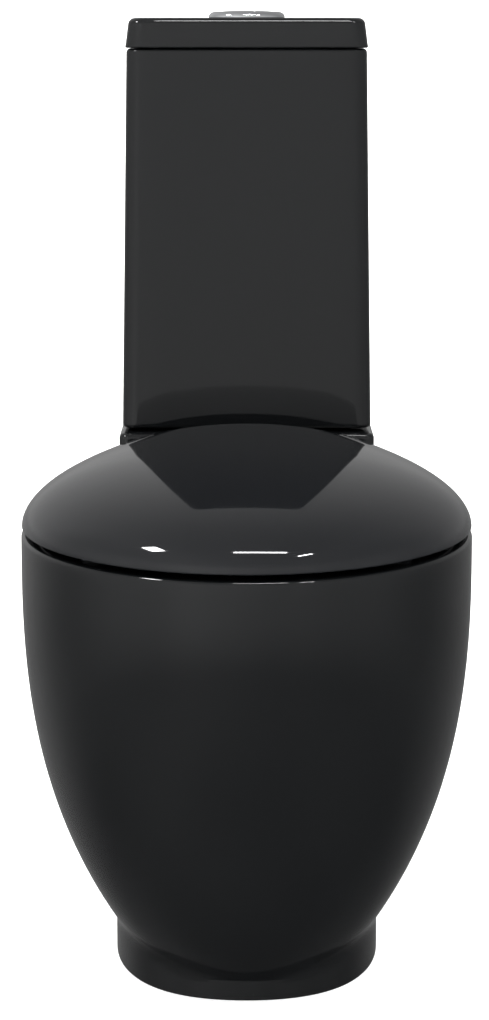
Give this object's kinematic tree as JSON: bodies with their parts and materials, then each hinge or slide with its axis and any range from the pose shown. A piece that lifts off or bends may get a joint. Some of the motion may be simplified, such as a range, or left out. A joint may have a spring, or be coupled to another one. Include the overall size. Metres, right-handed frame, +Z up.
{
  "type": "close coupled toilet",
  "caption": "Close coupled toilet in black china: a pan narrowing to a foot, a slim cistern with a twin push button, and a domed soft-close seat and cover.",
  "frame": {"origin": "on the floor, under the middle of the outline", "axes": "+Z up, the front of the bowl faces -Y, the wall is at the far +Y side"},
  "size_m": [0.366, 0.62, 0.7968],
  "materials": {
    "black_ceramic": "gloss",
    "seat_plastic": "gloss",
    "chrome": "polished",
    "white_plastic": "satin",
    "grey_plastic": "satin",
    "blue_plastic": "satin",
    "rubber": "matte",
    "clear_rubber": "satin",
    "steel": "satin",
    "zinc_steel": "satin"
  },
  "bodies": {
    "pan_and_cistern": {"pan": "black_ceramic", "cistern_tank": "black_ceramic", "flush_valve_base": "white_plastic", "flush_valve_washer": "rubber", "flush_valve_nut": "white_plastic", "coupling_seal": "rubber", "flush_valve_tower": "white_plastic", "actuator_box": "white_plastic", "fill_valve_body": "white_plastic", "fill_valve_head": "white_plastic", "fill_lever_pin": "steel", "fill_valve_washer": "rubber", "fill_valve_nut": "white_plastic", "coupling_bolts": "steel", "cistern_rubber_washers": "rubber", "cistern_steel_washers": "steel", "coupling_pads": "rubber", "shelf_rubber_washers": "rubber", "shelf_steel_washers": "steel", "coupling_wing_nuts": "steel", "hinge_pillars": "chrome", "hinge_pins": "steel", "hinge_gaskets": "rubber", "hinge_studs": "steel", "hinge_washers": "rubber", "hinge_wing_nuts": "grey_plastic", "floor_brackets": "zinc_steel", "side_screws": "steel", "screw_caps": "chrome"},
    "seat": {"seat_ring": "seat_plastic", "seat_damper": "grey_plastic", "seat_bush": "grey_plastic", "seat_buffers": "clear_rubber"},
    "cover": {"seat_cover": "seat_plastic", "cover_damper": "grey_plastic", "cover_bush": "grey_plastic", "cover_buffers": "clear_rubber"},
    "lid": {"cistern_lid": "black_ceramic", "button_housing": "chrome", "button_nut": "white_plastic"},
    "full_flush": {"full_flush_button": "chrome", "full_flush_rod": "white_plastic"},
    "half_flush": {"half_flush_button": "chrome", "half_flush_rod": "white_plastic"},
    "full_key": {"full_flush_key": "blue_plastic"},
    "half_key": {"half_flush_key": "blue_plastic"},
    "flush_valve": {"overflow_pipe": "white_plastic", "flush_seal": "rubber", "flush_float": "white_plastic"},
    "fill_float": {"fill_valve_float": "white_plastic"},
    "fill_lever": {"fill_valve_lever": "white_plastic"}
  },
  "joints": [
    {"name": "seat_hinge", "type": "hinge", "parent": "pan_and_cistern", "child": "seat", "pos_m": [0, 0.085, 0.408], "axis": [1, 0, 0], "range_deg": [-90, 0]},
    {"name": "cover_hinge", "type": "hinge", "parent": "seat", "child": "cover", "pos_m": [0, 0.085, 0.408], "axis": [-1, 0, 0], "range_deg": [0, 94]},
    {"name": "cistern_lid_lift", "type": "slide", "parent": "pan_and_cistern", "child": "lid", "axis": [0, 0, 1], "range_m": [0, 0.15]},
    {"name": "full_flush_press", "type": "slide", "parent": "lid", "child": "full_flush", "axis": [0, 0, -1], "range_m": [0, 0.006], "stiffness_N_per_m": 400, "springref_m": -0.006},
    {"name": "half_flush_press", "type": "slide", "parent": "lid", "child": "half_flush", "axis": [0, 0, -1], "range_m": [0, 0.006], "stiffness_N_per_m": 400, "springref_m": -0.006},
    {"name": "full_flush_key_slide", "type": "slide", "parent": "pan_and_cistern", "child": "full_key", "axis": [0, 0, -1], "range_m": [0, 0.006]},
    {"name": "half_flush_key_slide", "type": "slide", "parent": "pan_and_cistern", "child": "half_key", "axis": [0, 0, -1], "range_m": [0, 0.006]},
    {"name": "flush_valve_lift", "type": "slide", "parent": "pan_and_cistern", "child": "flush_valve", "axis": [0, 0, 1], "range_m": [0, 0.012]},
    {"name": "fill_float_slide", "type": "slide", "parent": "pan_and_cistern", "child": "fill_float", "axis": [0, 0, 1], "range_m": [0, 0.012]},
    {"name": "fill_lever_turn", "type": "hinge", "parent": "pan_and_cistern", "child": "fill_lever", "pos_m": [-0.07, 0.261, 0.701], "axis": [-1, 0, 0], "range_deg": [0, 17]}
  ],
  "couplings": [
    {"joint": "full_flush_key_slide", "follows": "full_flush_press", "ratio": 1},
    {"joint": "half_flush_key_slide", "follows": "half_flush_press", "ratio": 1},
    {"joint": "flush_valve_lift", "follows": "full_flush_press", "ratio": 2},
    {"joint": "fill_lever_turn", "follows": "fill_float_slide", "rad_per_m": 24.288}
  ]
}
